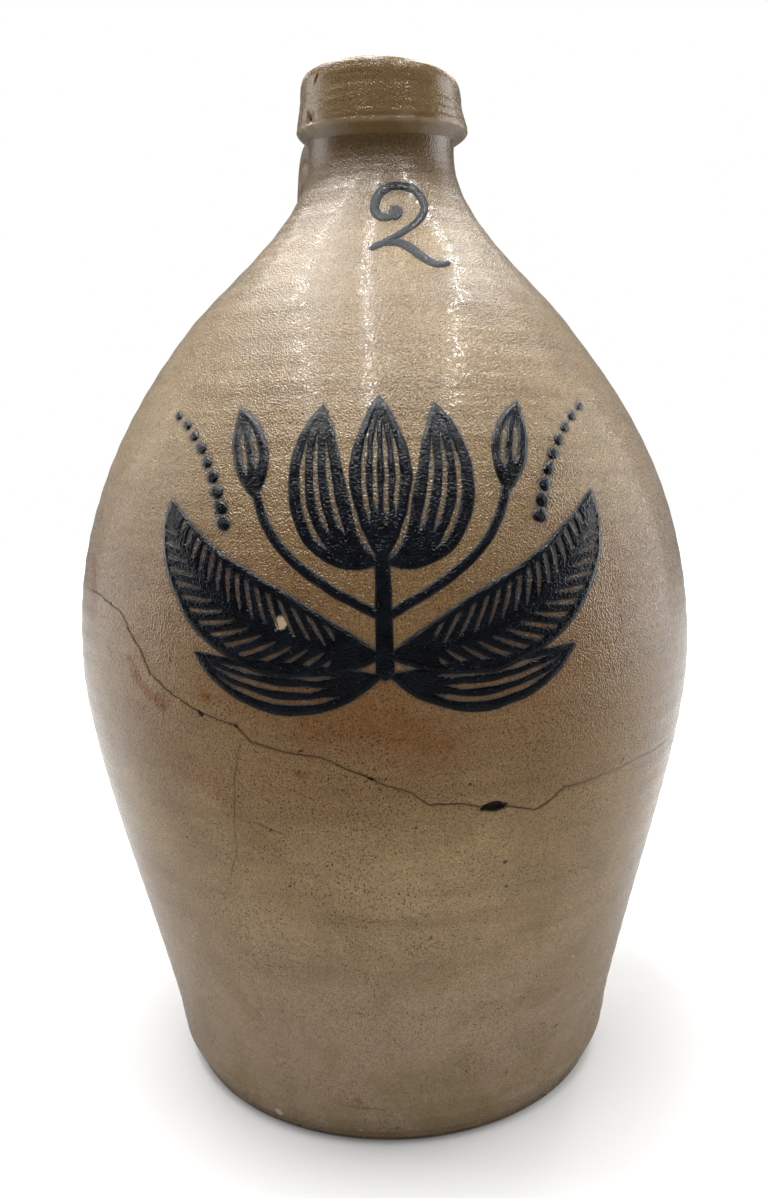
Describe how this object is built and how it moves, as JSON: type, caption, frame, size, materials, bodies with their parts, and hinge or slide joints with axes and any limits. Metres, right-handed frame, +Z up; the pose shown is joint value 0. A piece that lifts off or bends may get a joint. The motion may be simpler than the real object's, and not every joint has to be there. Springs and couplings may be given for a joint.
{
  "type": "stoneware jug",
  "caption": "Ovoid salt-glazed stoneware jug with a collared neck, a strap handle from neck to shoulder, a brown slip lining and raised cobalt slip decoration.",
  "frame": {"origin": "centre of the flat base, on the surface that the jug stands on", "axes": "+Z up along the axis of the pot, -Y towards the decorated front, +X to the right seen from the front"},
  "size_m": [0.2275, 0.2277, 0.3625],
  "materials": {
    "salt_glazed_stoneware": "salt glaze with an orange-peel skin, grey-tan with iron freckles, glossy",
    "brown_slip": "smooth dark brown slip, satin",
    "cobalt_slip": "navy-black raised slip under salt glaze, glossy"
  },
  "bodies": {
    "root": {"thrown_body": "salt_glazed_stoneware", "spout_collar": "salt_glazed_stoneware", "strap_handle": "salt_glazed_stoneware", "handle_upper_joint": "salt_glazed_stoneware", "handle_lower_terminal": "salt_glazed_stoneware", "inner_slip_lining": "brown_slip", "capacity_numeral": "cobalt_slip", "flower_stem": "cobalt_slip", "tulip_bloom": "cobalt_slip", "large_leaf_pair": "cobalt_slip", "small_leaf_pair": "cobalt_slip", "bud_pair": "cobalt_slip", "dot_spray_pair": "cobalt_slip"}
  },
  "joints": []
}
